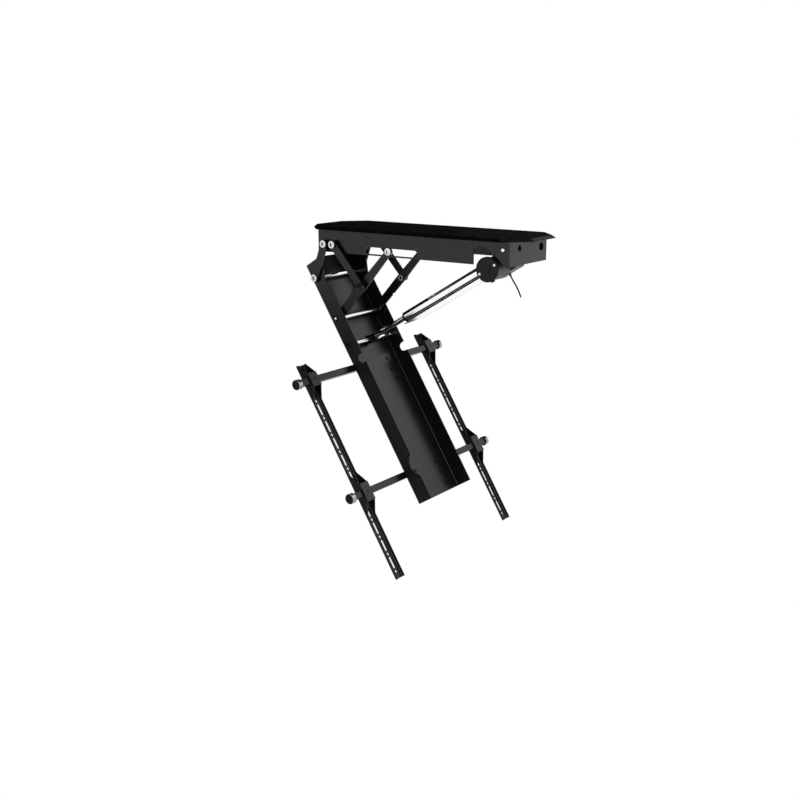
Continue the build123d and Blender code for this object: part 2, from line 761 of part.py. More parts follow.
def build_rail_clamps():
    clamps = []
    screws = []
    center_y = -rail_spacing / 2
    half = rail_width / 2
    cover = clamp_face - rail_sheet
    for along, clamp_length in bar_positions():
        start = along - clamp_length / 2
        end = along + clamp_length / 2
        front = outline((start, cover), (end, cover), (end, clamp_face), (start, clamp_face))
        floor = rail_face + bend_radius
        inside = outline((start, floor), (end, floor), (end, cover), (start, cover))
        inner_half = half - rail_sheet - bar_gap
        block = prism(arm, front, center_y - half, center_y + half)
        block += prism(arm, inside, center_y - inner_half, center_y + inner_half)
        block -= bar_form(along, bar_gap / 2, center_y - half, center_y + half)
        bar_front = bar_across + bar_size / 2
        at = (along, center_y)
        block -= face_disc(arm, at, clamp_screw_radius + fixed_gap, bar_across, clamp_face)
        screws.append(face_disc(arm, at, clamp_screw_radius, bar_front, clamp_face - clamp_screw_recess))
        clamps.append(block)
    return clamps, screws


def build_gearbox():
    shape = outline(
        (gearbox_rear, gearbox_top), (gearbox_front, gearbox_top),
        (gearbox_front, gearbox_bottom - gearbox_chamfer), (gearbox_front - gearbox_chamfer, gearbox_bottom),
        (gearbox_foot, gearbox_bottom), gearbox_heel, (gearbox_rear, gearbox_nose))
    body = prism(ram, shape, -gearbox_half_width, gearbox_half_width)
    body = fillet(body.edges().filter_by(GeomType.LINE).filter_by(Axis.Y), gearbox_round)
    body -= disc(ram, (0, 0), rear_pin_radius + running_gap, -gearbox_half_width, gearbox_half_width)
    return body


def build_gear_cover():
    low_y = gearbox_half_width
    round_end = Pos(motor_along, motor_below) * Circle(gear_cover_radius)
    nose = Pos(*gear_cover_nose) * Circle(gear_cover_nose_radius)
    shape = make_hull((round_end + nose).edges())
    cover = prism(ram, shape, low_y, low_y + gear_cover_height)
    return chamfer(cover.edges().group_by(Axis.Y)[-1], 1.5)


def build_motor():
    at = (motor_along, motor_below)
    return disc(ram, at, motor_radius, -motor_end, -gearbox_half_width)


def build_motor_cap():
    at = (motor_along, motor_below)
    low_y = -motor_end - motor_cap_thickness
    cap = disc(ram, at, motor_cap_radius, low_y, -motor_end)
    cap = chamfer(cap.edges().filter_by(GeomType.CIRCLE).group_by(Axis.Y)[0], 1.0)
    tab = Pos(motor_along, motor_below + motor_cap_radius) * Rectangle(motor_tab_width, 2 * motor_tab_height)
    cap += prism(ram, tab, low_y + 1, -motor_end)
    groove = ring(ram, at, motor_ring_radius, motor_ring_radius - motor_ring_width, low_y, low_y + motor_ring_depth)
    half = Pos(motor_along - motor_ring_radius, motor_below) * Rectangle(2 * motor_ring_radius, 2 * motor_ring_radius)
    cap -= groove & prism(ram, half, low_y, low_y + motor_ring_depth)
    for side in (-1, 1):
        hole = (motor_along + side * motor_screw_circle, motor_below)
        cap -= disc(ram, hole, motor_screw_radius / 2 + fixed_gap, low_y, -motor_end)
        cap -= disc(ram, hole, motor_screw_radius + fixed_gap, low_y, low_y + motor_screw_height)
    return cap


def build_motor_screws():
    low_y = -motor_end - motor_cap_thickness
    screws = []
    for side in (-1, 1):
        at = (motor_along + side * motor_screw_circle, motor_below)
        head = disc(ram, at, motor_screw_radius, low_y, low_y + motor_screw_height)
        screws.append(head + disc(ram, at, motor_screw_radius / 2, low_y, -motor_end))
    return screws


def along_tube(radius, start, end):
    """A cylinder on the actuator's own axis."""
    return extrude(section_plane(ram, start) * Circle(radius), end - start)


def build_actuator_tube():
    return along_tube(tube_radius, gearbox_front, tube_end) - along_tube(tube_bore, gearbox_front, tube_end)


def build_front_cap():
    end = tube_end + front_cap_length
    cap = along_tube(tube_radius, tube_end, end)
    (step_x, step_z) = ram[1]
    rim = cap.edges().filter_by(GeomType.CIRCLE).sort_by(Axis((0, 0, 0), (step_x, 0, step_z)))[-1]
    return chamfer(rim, 2.0) - along_tube(ram_radius + running_gap, tube_end, end)


def build_profile():
    shape = outline((gearbox_front, profile_top), (profile_nose_top, profile_top), (profile_nose_top, profile_top + 1),
                    (profile_nose_bottom, profile_bottom), (gearbox_front, profile_bottom))
    body = prism(ram, shape, -profile_width / 2, profile_width / 2)
    (step_x, step_z) = ram[1]
    lines = body.edges().filter_by(Axis((0, 0, 0), (step_x, 0, step_z)))
    return fillet(lines, 0.7)


def build_lead_screw():
    return along_tube(screw_radius, gearbox_front, screw_end)


def build_ram_rod():
    end = ram_length - eye_radius - eye_shank_length / 2
    return along_tube(ram_radius, ram_inner_end, end) - along_tube(ram_bore, ram_inner_end, ram_bore_end)


def build_drive_nut():
    start = ram_inner_end - drive_nut_length
    return along_tube(tube_bore - bar_gap, start, ram_inner_end) - along_tube(
        screw_radius + bar_gap, start, ram_inner_end)


def build_rod_eye():
    at = (ram_length, 0)
    eye = disc(ram, at, eye_radius, -eye_half_width, eye_half_width)
    shank_start = ram_length - eye_radius - eye_shank_length
    shank = along_tube(eye_shank_radius, shank_start, ram_length)
    shank -= along_tube(ram_radius + fixed_gap, shank_start, ram_length - eye_radius - eye_shank_length / 2)
    return eye + shank - disc(ram, at, eye_pin_radius + fixed_gap, -eye_half_width, eye_half_width)


def build_eye_pin():
    return disc(ram, (ram_length, 0), eye_pin_radius, -eye_pin_reach, eye_pin_reach)


def build_motor_lead():
    """The gland, the free lead and its bare tip."""
    start = locate(ram, lead_exit_along, gearbox_bottom)
    gland_end = locate(ram, lead_exit_along, gearbox_bottom + lead_gland_length)
    below = (gland_end[0] - start[0], 0, gland_end[1] - start[1])
    gland_plane = Plane(origin=(start[0], lead_exit_y, start[1]), z_dir=below)
    gland = extrude(gland_plane * Circle(lead_gland_radius), lead_gland_length, taper=8)
    route = [(locate(ram, along, lower), y) for along, lower, y in lead_route]
    points = [(gland_end[0], lead_exit_y, gland_end[1]), *[(at[0], y, at[1]) for at, y in route]]
    vectors = [Vector(*point) for point in points]
    runs = [second - first for first, second in zip(vectors, vectors[1:])]
    radii = []
    for first, second in zip(runs, runs[1:]):
        half_turn = radians(first.get_angle(second)) / 2
        radii.append(0.45 * min(first.length, second.length) / tan(half_turn))
    print("lead bend radii", [round(radius, 1) for radius in radii])
    path = FilletPolyline(*points, radius=radii)
    lead = sweep(Plane(origin=points[0], z_dir=runs[0]) * Circle(lead_radius), path=path)
    print("lead volume", round(lead.volume, 1), "section times length",
          round(pi * lead_radius**2 * path.length, 1), "length", round(path.length, 1))
    tip = extrude(Plane(origin=points[-1], z_dir=runs[-1]) * Circle(lead_tip_radius), lead_tip_length)
    return gland, lead, tip


def build_nodes():
    box_shell, box_cover, box_screws = build_control_box()
    clamps, clamp_screws = build_rail_clamps()
    gland, lead, tip = build_motor_lead()
    side = build_housing_side()
    nodes = {
        "ceiling_plate": [build_ceiling_plate()],
        "housing_top": [build_housing_top()],
        "housing_side_near": [side - motor_notch_cut()],
        "housing_side_far": [far_side(side)],
        "housing_end": [build_housing_end()],
        "plate_screws": build_plate_screws(),
        "control_box": [box_shell],
        "control_box_lid": [box_cover],
        "control_box_screws": box_screws,
        "pivot_shafts": build_pivot_shafts(),
        "pivot_spacers": build_pivot_spacers(),
        "pivot_bolts": build_pivot_bolts(),
        "rear_pin": [build_rear_pin()],
        "rear_pin_spacers": build_rear_spacers(),
        "elbow_bolts": build_elbow_bolts(),
        "elbow_washers": build_elbow_washers(),
        "elbow_nuts": build_elbow_nuts(),
        "slot_bolts": build_slot_bolts(),
        "slot_rollers": build_slot_rollers(),
        "slot_nuts": build_slot_nuts(),
        "front_link_bolts": build_front_bolts(),
        "swing_arm": [build_swing_arm()],
        "upper_rod": [build_upper_rod()],
        "lower_rod": [build_lower_rod()],
        "rod_nuts": build_rod_nuts(),
        "rod_collars": build_rod_collars(),
        "ram_pin_stubs": build_ram_stubs(),
        "upper_crossbar": [build_crossbar(upper_bar_along)],
        "lower_crossbar": [build_crossbar(lower_bar_along)],
        "crossbar_caps": build_bar_caps(),
        "crossbar_saddles": [build_saddle(along, side * saddle_y)
                             for along, _ in bar_positions() for side in (-1, 1)],
        "saddle_screws": build_saddle_screws(),
        "rail_clamps": both_sides(*clamps),
        "clamp_screws": both_sides(*clamp_screws),
        "gearbox": [build_gearbox()],
        "gear_cover": [build_gear_cover()],
        "motor": [build_motor()],
        "motor_cap": [build_motor_cap()],
        "motor_cap_screws": build_motor_screws(),
        "actuator_tube": [build_actuator_tube()],
        "tube_front_cap": [build_front_cap()],
        "switch_profile": [build_profile()],
        "lead_screw": [build_lead_screw()],
        "ram_rod": [build_ram_rod()],
        "drive_nut": [build_drive_nut()],
        "rod_eye": [build_rod_eye()],
        "rod_eye_pin": [build_eye_pin()],
        "lead_gland": [gland],
        "motor_lead": [lead],
        "lead_tip": [tip],
    }
    pairs = {"lift_link": build_lift_link(), "scissor_link": build_scissor_link(),
             "front_link": build_front_link(), "screen_rail": build_rail()}
    for name, near in pairs.items():
        nodes[name + "_near"] = [near]
        nodes[name + "_far"] = [far_side(near)]
    return nodes


os.makedirs("parts", exist_ok=True)
for name, pieces in build_nodes().items():
    solids = [solid for piece in pieces for solid in piece.solids()]
    export_step(Compound(children=solids) if len(solids) > 1 else solids[0], f"parts/{name}.step")
    print(name, len(solids))
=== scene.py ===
import json
import bpy
from math import cos, radians
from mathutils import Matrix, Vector


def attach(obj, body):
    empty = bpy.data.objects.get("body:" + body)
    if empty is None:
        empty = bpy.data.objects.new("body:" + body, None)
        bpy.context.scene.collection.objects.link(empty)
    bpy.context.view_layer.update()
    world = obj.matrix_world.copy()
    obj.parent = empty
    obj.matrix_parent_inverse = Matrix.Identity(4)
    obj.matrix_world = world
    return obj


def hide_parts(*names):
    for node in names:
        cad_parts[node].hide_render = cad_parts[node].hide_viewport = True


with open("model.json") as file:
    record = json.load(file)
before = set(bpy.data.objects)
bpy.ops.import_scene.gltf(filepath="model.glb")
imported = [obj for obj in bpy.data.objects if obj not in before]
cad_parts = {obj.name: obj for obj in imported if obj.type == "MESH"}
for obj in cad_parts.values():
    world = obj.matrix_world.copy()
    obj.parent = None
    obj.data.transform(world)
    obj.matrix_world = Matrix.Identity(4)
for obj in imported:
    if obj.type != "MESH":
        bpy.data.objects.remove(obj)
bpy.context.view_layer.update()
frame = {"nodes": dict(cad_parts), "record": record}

nodes = frame["nodes"]
print("frame loaded:", len(nodes), "nodes")


# materials

def hexColor(code):
    # sRGB hex to the linear values that the shader wants
    values = [int(code[i:i + 2], 16) / 255 for i in (1, 3, 5)]
    linear = [v / 12.92 if v <= 0.04045 else ((v + 0.055) / 1.055) ** 2.4 for v in values]
    return (*linear, 1.0)


def addNode(tree, kind, settings=None, links=None):
    node = tree.nodes.new(kind)
    for name, value in (settings or {}).items():
        if isinstance(name, str) and hasattr(node, name):
            setattr(node, name, value)
        else:
            node.inputs[name].default_value = value
    for name, source in (links or {}).items():
        tree.links.new(source, node.inputs[name])
    return node


def perMillimetre(size):
    # noise scale that gives features of this size in mm, as objects are in metres
    return 1000 / size


def startMaterial(name, shaderSettings):
    # a principled shader on its output, and the piece's own coordinates for the patterns
    material = bpy.data.materials.new(name)
    material.use_nodes = True
    tree = material.node_tree
    tree.nodes.clear()
    shader = addNode(tree, "ShaderNodeBsdfPrincipled", shaderSettings)
    addNode(tree, "ShaderNodeOutputMaterial", links={"Surface": shader.outputs["BSDF"]})
    place = addNode(tree, "ShaderNodeTexCoord").outputs["Object"]
    return material, tree, shader, place


mottleDetail = 3.0  # octaves of the noise
peelDetail = 2.0
peelStrength = 0.35


def addMottle(tree, shader, place, grain, dark, light, rough):
    # a soft change of tone and gloss over the surface; grain in mm, rough from dark to light spots
    noise = addNode(tree, "ShaderNodeTexNoise", {"Scale": perMillimetre(grain), "Detail": mottleDetail},
                    {"Vector": place})
    tone = addNode(tree, "ShaderNodeMix", {"data_type": "RGBA", 6: hexColor(dark), 7: hexColor(light)},
                   {0: noise.outputs["Fac"]})
    tree.links.new(tone.outputs[2], shader.inputs["Base Color"])
    gloss = addNode(tree, "ShaderNodeMapRange", {"To Min": rough[0], "To Max": rough[1]},
                    {"Value": noise.outputs["Fac"]})
    tree.links.new(gloss.outputs["Result"], shader.inputs["Roughness"])


def addPeel(tree, shader, place, grain, depth):
    # small bumps of a sprayed or cast skin; grain and depth in mm
    noise = addNode(tree, "ShaderNodeTexNoise", {"Scale": perMillimetre(grain), "Detail": peelDetail},
                    {"Vector": place})
    bump = addNode(tree, "ShaderNodeBump", {"Strength": peelStrength, "Distance": depth / 1000},
                   {"Height": noise.outputs["Fac"]})
    tree.links.new(bump.outputs["Normal"], shader.inputs["Normal"])


def powderCoat():
    # powder coated steel, sprayed and baked: satin black with a faint orange peel
    material, tree, shader, place = startMaterial("powderCoat", {"IOR": 1.5, "Specular IOR Level": 0.40})
    addMottle(tree, shader, place, grain=45, dark="#070708", light="#0c0c0d", rough=(0.27, 0.35))
    addPeel(tree, shader, place, grain=1.8, depth=0.006)
    return material


def polishedSteel():
    # ground and chromed round bar: bright, its gloss a little uneven; the grinding marks are too fine to show
    material, tree, shader, place = startMaterial("polishedSteel", {"Metallic": 1.0})
    addMottle(tree, shader, place, grain=14, dark="#e9e9ec", light="#f4f4f5", rough=(0.07, 0.12))
    return material


def satinNickel():
    # nickel plate over a tumbled casting: greyer and softer to the eye than the ground bars
    material, tree, shader, place = startMaterial("satinNickel", {"Metallic": 1.0})
    addMottle(tree, shader, place, grain=8, dark="#98999c", light="#aaabae", rough=(0.18, 0.24))
    return material


def zincPlate():
    # bright zinc plate on turned and headed bolts: pale grey with a blurred shine
    material, tree, shader, place = startMaterial("zincPlate", {"Metallic": 1.0})
    addMottle(tree, shader, place, grain=5, dark="#d2d3d6", light="#e6e6e8", rough=(0.22, 0.34))
    return material


def blackOxide():
    # blackened bolts and bushes: dark metal with an oily sheen
    material, tree, shader, place = startMaterial("blackOxide", {"Metallic": 0.7})
    addMottle(tree, shader, place, grain=6, dark="#111113", light="#1b1b1d", rough=(0.30, 0.42))
    return material


def motorPaint():
    # grey enamel sprayed on the cast gearbox and the motor can: half matt, with the casting's skin under it
    material, tree, shader, place = startMaterial("motorPaint", {"IOR": 1.5, "Specular IOR Level": 0.4})
    addMottle(tree, shader, place, grain=30, dark="#48484a", light="#525254", rough=(0.38, 0.48))
    addPeel(tree, shader, place, grain=2.2, depth=0.05)
    return material


def tubeAluminium():
    # drawn and clear anodised aluminium: pale, and bright enough to mirror what stands round it
    material, tree, shader, place = startMaterial("tubeAluminium", {"Metallic": 1.0})
    addMottle(tree, shader, place, grain=20, dark="#f6f6f8", light="#fcfcfd", rough=(0.05, 0.09))
    return material


def blackPlasticAndShade():
    # moulded black nylon, slightly grained; also laid as painted shade under the actuator tube and as painted dark
    # reflection on the crossbar caps' ends
    material, tree, shader, place = startMaterial("blackPlasticAndShade", {"IOR": 1.5, "Specular IOR Level": 0.22})
    addMottle(tree, shader, place, grain=12, dark="#0e0e0f", light="#151516", rough=(0.40, 0.50))
    addPeel(tree, shader, place, grain=1.2, depth=0.02)
    return material


def leadRubber():
    # soft black cable sheath, extruded: nearly matt
    material, tree, shader, place = startMaterial("leadRubber", {"IOR": 1.5, "Specular IOR Level": 0.12})
    addMottle(tree, shader, place, grain=4, dark="#070708", light="#0c0c0d", rough=(0.55, 0.65))
    return material


def bareCopper():
    # stripped and twisted copper strands: warm, with a dull shine
    material, tree, shader, place = startMaterial("bareCopper", {"Metallic": 1.0})
    addMottle(tree, shader, place, grain=2, dark="#c77f4a", light="#e0a066", rough=(0.25, 0.35))
    return material


finishes = {
    "powder_black": powderCoat(),
    "bright_steel": polishedSteel(),
    "cap_nickel": satinNickel(),
    "zinc": zincPlate(),
    "dark_steel": blackOxide(),
    "motor_grey": motorPaint(),
    "tube_aluminium": tubeAluminium(),
    "cap_plastic": blackPlasticAndShade(),
    "box_plastic": blackPlasticAndShade(),
    "lead_rubber": leadRubber(),
    "copper": bareCopper(),
}

for part in frame["record"]["subparts"]:
    piece = nodes[part["node"]]
    piece.data.materials.clear()
    piece.data.materials.append(finishes[part["material_slot"]])
print("finishes set")


# motor lead

lead = {
    "diameter": 0.004,  # in metres, as is the length
    "length": 0.062,
    "route": [  # from the gland to the bare end, in mm
        (267.98, 3.0, -113.14), (274.71, 3.0, -124.27), (284.35, 3.7, -137.13),
        (293.24, 4.8, -152.80), (298.86, 5.2, -166.93)],
}


def makeLead():
    curve = bpy.data.curves.new("motorLead", "CURVE")
    curve.dimensions = "3D"
    curve.bevel_depth = lead["diameter"] / 2
    curve.bevel_resolution = 4
    curve.use_fill_caps = True
    spline = curve.splines.new("NURBS")
    spline.points.add(len(lead["route"]) - 1)
    for point, place in zip(spline.points, lead["route"]):
        point.co = (*[value / 1000 for value in place], 1.0)
    spline.order_u = 3
    spline.use_endpoint_u = True
    piece = bpy.data.objects.new("motorLead", curve)
    bpy.context.scene.collection.objects.link(piece)
    curve.materials.append(finishes["lead_rubber"])
    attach(piece, "actuator")
    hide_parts("motor_lead")
    print("lead made")


makeLead()


# steps that the pieces share

def selectOnly(*pieces):
    # the first one becomes the active one
    bpy.ops.object.select_all(action="DESELECT")
    for piece in pieces:
        piece.select_set(True)
    bpy.context.view_layer.objects.active = pieces[0]


def selectFaces(piece, chosen):
    # select by place or normal, with edit mode left on
    bpy.ops.object.mode_set(mode="EDIT")
    bpy.ops.mesh.select_mode(type="FACE")
    bpy.ops.mesh.select_all(action="DESELECT")
    bpy.ops.object.mode_set(mode="OBJECT")
    for face in piece.data.polygons:
        face.select = chosen(face)
    bpy.ops.object.mode_set(mode="EDIT")


def addRound(radius, length, at, frontY, sides=48):
    # a round blank along y, its front face at frontY; all in mm, and its own +z looks to the front
    bpy.ops.object.select_all(action="DESELECT")
    bpy.ops.mesh.primitive_cylinder_add(
        vertices=sides, radius=radius / 1000, depth=length / 1000,
        location=(at[0] / 1000, (frontY + length / 2) / 1000, at[1] / 1000), rotation=(radians(90), 0, 0))
    return bpy.context.object


flatEnough = 0.99  # how much of a face's normal lies along the axis


def isFront(face):
    return face.normal.z > flatEnough


def isBack(face):
    return face.normal.z < -flatEnough


def insetBy(distance):
    bpy.ops.mesh.inset(thickness=distance / 1000)


def pushBy(distance):
    # move what is selected towards the back, or to the front where negative
    bpy.ops.transform.translate(value=(0, distance / 1000, 0))


def pullOut(distance):
    # extrude what is selected towards the back, or to the front where negative
    bpy.ops.mesh.extrude_region_move(TRANSFORM_OT_translate={"value": (0, distance / 1000, 0)})


def joinCopies(piece, shifts):
    # the piece again at each shift in mm, joined with it
    copies = []
    for shiftX, shiftZ in shifts:
        twin = piece.copy()
        twin.data = piece.data.copy()
        bpy.context.scene.collection.objects.link(twin)
        selectOnly(twin)
        twin.location = (shiftX / 1000, 0, shiftZ / 1000)
        bpy.ops.object.transform_apply(location=True)
        copies.append(twin)
    selectOnly(piece, *copies)
    if copies:
        bpy.ops.object.join()


smoothAngle = 32  # edges flatter than this are shaded round


def settlePiece(piece, facts, bothSides=True):
    # the far side's mirror image, outward normals, smooth rounds, and its place in the mechanism
    if bothSides:
        mirror = piece.modifiers.new("farSide", "MIRROR")
        mirror.use_axis = (False, True, False)
        mirror.use_mirror_merge = False
        bpy.ops.object.modifier_apply(modifier=mirror.name)
    bpy.ops.object.mode_set(mode="EDIT")
    bpy.ops.mesh.select_all(action="SELECT")
    bpy.ops.mesh.normals_make_consistent(inside=False)
    bpy.ops.object.mode_set(mode="OBJECT")
    bpy.ops.object.shade_smooth_by_angle(angle=radians(smoothAngle))
    piece.name = facts["name"]
    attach(piece, facts["body"])
    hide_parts(facts["node"])
    print(facts["name"], "made")


# bolts

bolts = {  # in mm; places are x and z of the middle, seatY is where the near side's head rests
    "pivotBolts": {
        "places": [(-291.9, -50.3), (-260.1, -50.3)], "seatY": -112.3, "headRadius": 12.0, "headHeight": 4.5,
        "faceRadius": 10.7, "dome": 1.2, "socket": 10.0, "socketDepth": 3.4, "shankRadius": 3.98,
        "shankLength": 7.0, "body": "housing", "node": "pivot_bolts", "slot": "zinc"},
    "frontLinkBolts": {
        "places": [(-328.242, -152.639)], "seatY": -112.0, "headRadius": 12.0, "headHeight": 4.5,
        "faceRadius": 10.7, "dome": 1.2, "socket": 10.0, "socketDepth": 3.4, "shankRadius": 4.0,
        "shankLength": 5.3, "body": "front_links", "node": "front_link_bolts", "slot": "zinc"},
    "elbowBolts": {
        "places": [(-161.247, -161.250)], "seatY": -112.0, "headRadius": 9.0, "headHeight": 4.5,
        "faceRadius": 7.4, "dome": 1.2, "socket": 8.0, "socketDepth": 3.0, "shankRadius": 5.0,
        "shankLength": 24.5, "body": "lift_links", "node": "elbow_bolts", "slot": "dark_steel"},
    "slotBolts": {
        "places": [(-70.375, -60.2)], "seatY": -100.3, "headRadius": 12.0, "headHeight": 1.5,
        "faceRadius": 10.7, "dome": 0.5, "socket": 9.0, "socketDepth": 2.4, "shankRadius": 6.0,
        "shankLength": 12.8, "body": "scissor_links", "node": "slot_bolts", "slot": "zinc"},
}


def makeBolt(name, facts):
    # round head with a turned face, a six-sided socket and a plain shank; the rim, back and socket walls in
    # blackened steel are painted shade round the bright face
    frontY = facts["seatY"] - facts["headHeight"]
    at = facts["places"][0]
    bolt = addRound(facts["headRadius"], facts["headHeight"] - facts["dome"], at, frontY + facts["dome"])
    selectFaces(bolt, isFront)
    insetBy(facts["headRadius"] - facts["faceRadius"])
    pushBy(-facts["dome"])
    selectFaces(bolt, isBack)
    insetBy(facts["headRadius"] - facts["shankRadius"])
    pullOut(facts["shankLength"])
    bpy.ops.object.mode_set(mode="OBJECT")
    cutter = addRound(facts["socket"] / 2 / cos(radians(30)), 2 * facts["socketDepth"], at,
                      frontY - facts["socketDepth"], sides=6)
    selectOnly(bolt)
    socket = bolt.modifiers.new("socket", "BOOLEAN")
    socket.operation = "DIFFERENCE"
    socket.object = cutter
    bpy.ops.object.modifier_apply(modifier=socket.name)
    bpy.data.objects.remove(cutter)
    shankFrom = -(facts["headHeight"] + facts["dome"]) / 2000  # from the blank's middle, just past the head's back
    bolt.data.materials.append(finishes[facts["slot"]])
    bolt.data.materials.append(finishes["dark_steel"])
    # the rim, the head's back and the socket's walls get blackened steel as painted shade and painted dark
    # reflection; the front face, the socket's floor and the shank stay bright
    for face in bolt.data.polygons:
        turned = isFront(face) or face.center.z < shankFrom  # the front face and the shank
        face.material_index = 0 if turned else 1
    bpy.ops.object.transform_apply(location=True, rotation=True, scale=True)
    joinCopies(bolt, [(x - at[0], z - at[1]) for x, z in facts["places"][1:]])
    settlePiece(bolt, {**facts, "name": name})


for name, facts in bolts.items():
    makeBolt(name, facts)


# rear pin

rearPin = {"at": (300.8, -30.2), "radius": 5.0, "endY": 101.5, "chamfer": 0.8, "ringRadius": 7.2,
           "ringThickness": 0.5, "wallY": 100.0}  # in mm


def makeRearPin():
    # ground pin through the housing, with a thin black retaining ring on each wall
    facts = rearPin
    ring = facts["ringThickness"]
    pin = addRound(facts["radius"], facts["endY"] - facts["wallY"] - ring - facts["chamfer"], facts["at"],
                   -facts["endY"] + facts["chamfer"])
    selectFaces(pin, isFront)
    insetBy(facts["chamfer"])
    pushBy(-facts["chamfer"])
    selectFaces(pin, isBack)
    pullOut(facts["wallY"] + ring)
    bpy.ops.object.mode_set(mode="OBJECT")
    pin.data.materials.append(finishes["bright_steel"])
    bpy.ops.object.transform_apply(location=True, rotation=True, scale=True)
    collar = addRound(facts["ringRadius"], ring, facts["at"], -facts["wallY"] - ring)
    selectFaces(collar, isFront)
    insetBy(facts["ringRadius"] - facts["radius"])
    pushBy(ring / 2)
    bpy.ops.object.mode_set(mode="OBJECT")
    collar.data.materials.append(finishes["dark_steel"])
    bpy.ops.object.transform_apply(location=True, rotation=True, scale=True)
    selectOnly(pin, collar)
    bpy.ops.object.join()
    settlePiece(pin, {"name": "rearPin", "body": "housing", "node": "rear_pin", "slot": "bright_steel"})


makeRearPin()


# crossbar caps

crossbarCaps = {"places": [(-199.333, -411.600), (-16.276, -706.387)], "endY": -354.5, "radius": 14.5,
                "length": 14.0, "chamfer": 1.0, "dimpleRadius": 5.6, "dimpleDepth": 1.0, "plugRadius": 7.0,
                "plugLength": 8.0}  # in mm


def makeCrossbarCaps():
    # plated band round a cap whose flat ends, dimple in the middle and plug are black plastic as painted dark
    # reflection
    facts = crossbarCaps
    at = facts["places"][0]
    cap = addRound(facts["radius"], facts["length"] - facts["chamfer"], at, facts["endY"] + facts["chamfer"],
                   sides=64)
    selectFaces(cap, isFront)
    insetBy(facts["chamfer"])
    pushBy(-facts["chamfer"])
    selectFaces(cap, isFront)
    insetBy(facts["radius"] - facts["chamfer"] - facts["dimpleRadius"])
    pullOut(facts["dimpleDepth"])
    insetBy(facts["dimpleDepth"] / 2)
    pushBy(-facts["dimpleDepth"] / 2)
    selectFaces(cap, isBack)
    insetBy(facts["radius"] - facts["plugRadius"])
    pullOut(facts["plugLength"])
    bpy.ops.object.mode_set(mode="OBJECT")
    cap.data.materials.append(finishes["cap_nickel"])
    cap.data.materials.append(finishes["cap_plastic"])
    bandFrom = (facts["radius"] - facts["chamfer"]) / 1000
    # all but the band and its chamfer get black plastic, a painted dark reflection on the cap's flat faces
    for face in cap.data.polygons:
        onBand = face.center.xy.length > bandFrom and not isBack(face)
        face.material_index = 0 if onBand else 1
    bpy.ops.object.transform_apply(location=True, rotation=True, scale=True)
    joinCopies(cap, [(x - at[0], z - at[1]) for x, z in facts["places"][1:]])
    settlePiece(cap, {"name": "crossbarCaps", "body": "swing_arm", "node": "crossbar_caps",
                      "slot": "bright_steel"})


makeCrossbarCaps()


# rods across the arm

rods = {  # in mm; half and end are where the rod and its neck stop, from the middle
    "upperRod": {"at": (-328.242, -152.639), "radius": 7.5, "half": 102.0, "neck": 4.0, "end": 105.0,
                 "crown": 0.8, "node": "upper_rod"},
    "lowerRod": {"at": (-256.866, -267.580), "radius": 7.5, "half": 102.0, "neck": 4.0, "end": 106.9,
                 "crown": 0.8, "node": "lower_rod"},
}
rodJoint = 0.01  # each half stops this short of the middle


def makeRod(name, facts):
    # half of a ground rod from the middle to its turned-down and crowned end; the mirror makes the other half
    crown = facts["crown"]
    rod = addRound(facts["neck"], facts["end"] - facts["half"] - crown, facts["at"], -facts["end"] + crown)
    selectFaces(rod, isFront)
    insetBy(facts["neck"] / 2)
    pushBy(-crown)
    selectFaces(rod, isBack)
    widen = facts["radius"] / facts["neck"]
    pullOut(0)
    bpy.ops.transform.resize(value=(widen, 1, widen))
    pullOut(facts["half"] - rodJoint)
    bpy.ops.object.mode_set(mode="OBJECT")
    rod.data.materials.append(finishes["bright_steel"])
    bpy.ops.object.transform_apply(location=True, rotation=True, scale=True)
    settlePiece(rod, {"name": name, "body": "swing_arm", "node": facts["node"], "slot": "bright_steel"})


for name, facts in rods.items():
    makeRod(name, facts)


# actuator tube and ram

ramLine = {"start": rearPin["at"], "step": (-0.855759, -0.517375), "turn": -121.157}  # direction of its eye


def addOnRam(radius, start, end, sides):
    # a round blank on the actuator's own axis, its own +z to the ram's eye; distances in mm from the rear pin
    middle = (start + end) / 2
    (x, z), (stepX, stepZ) = ramLine["start"], ramLine["step"]
    bpy.ops.object.select_all(action="DESELECT")
    bpy.ops.mesh.primitive_cylinder_add(
        vertices=sides, radius=radius / 1000, depth=(end - start) / 1000,
        location=((x + middle * stepX) / 1000, 0, (z + middle * stepZ) / 1000),
        rotation=(0, radians(ramLine["turn"]), 0))
    return bpy.context.object


def slideBy(distance, extrude=False):
    # move or extrude what is selected along the ram, in mm towards its eye
    stepX, stepZ = ramLine["step"]
    value = (distance * stepX / 1000, 0, distance * stepZ / 1000)
    if extrude:
        bpy.ops.mesh.extrude_region_move(TRANSFORM_OT_translate={"value": value})
    else:
        bpy.ops.transform.translate(value=value)


tube = {  # in mm; start and end are measured from the rear pin
    "start": 100.0, "end": 437.0, "radius": 15.5, "bore": 12.0, "boreDepth": 335.0, "edge": 0.6,
    "paintedShadeAngle": 42,  # the painted shade strip reaches this many degrees to each side of the bottom
}


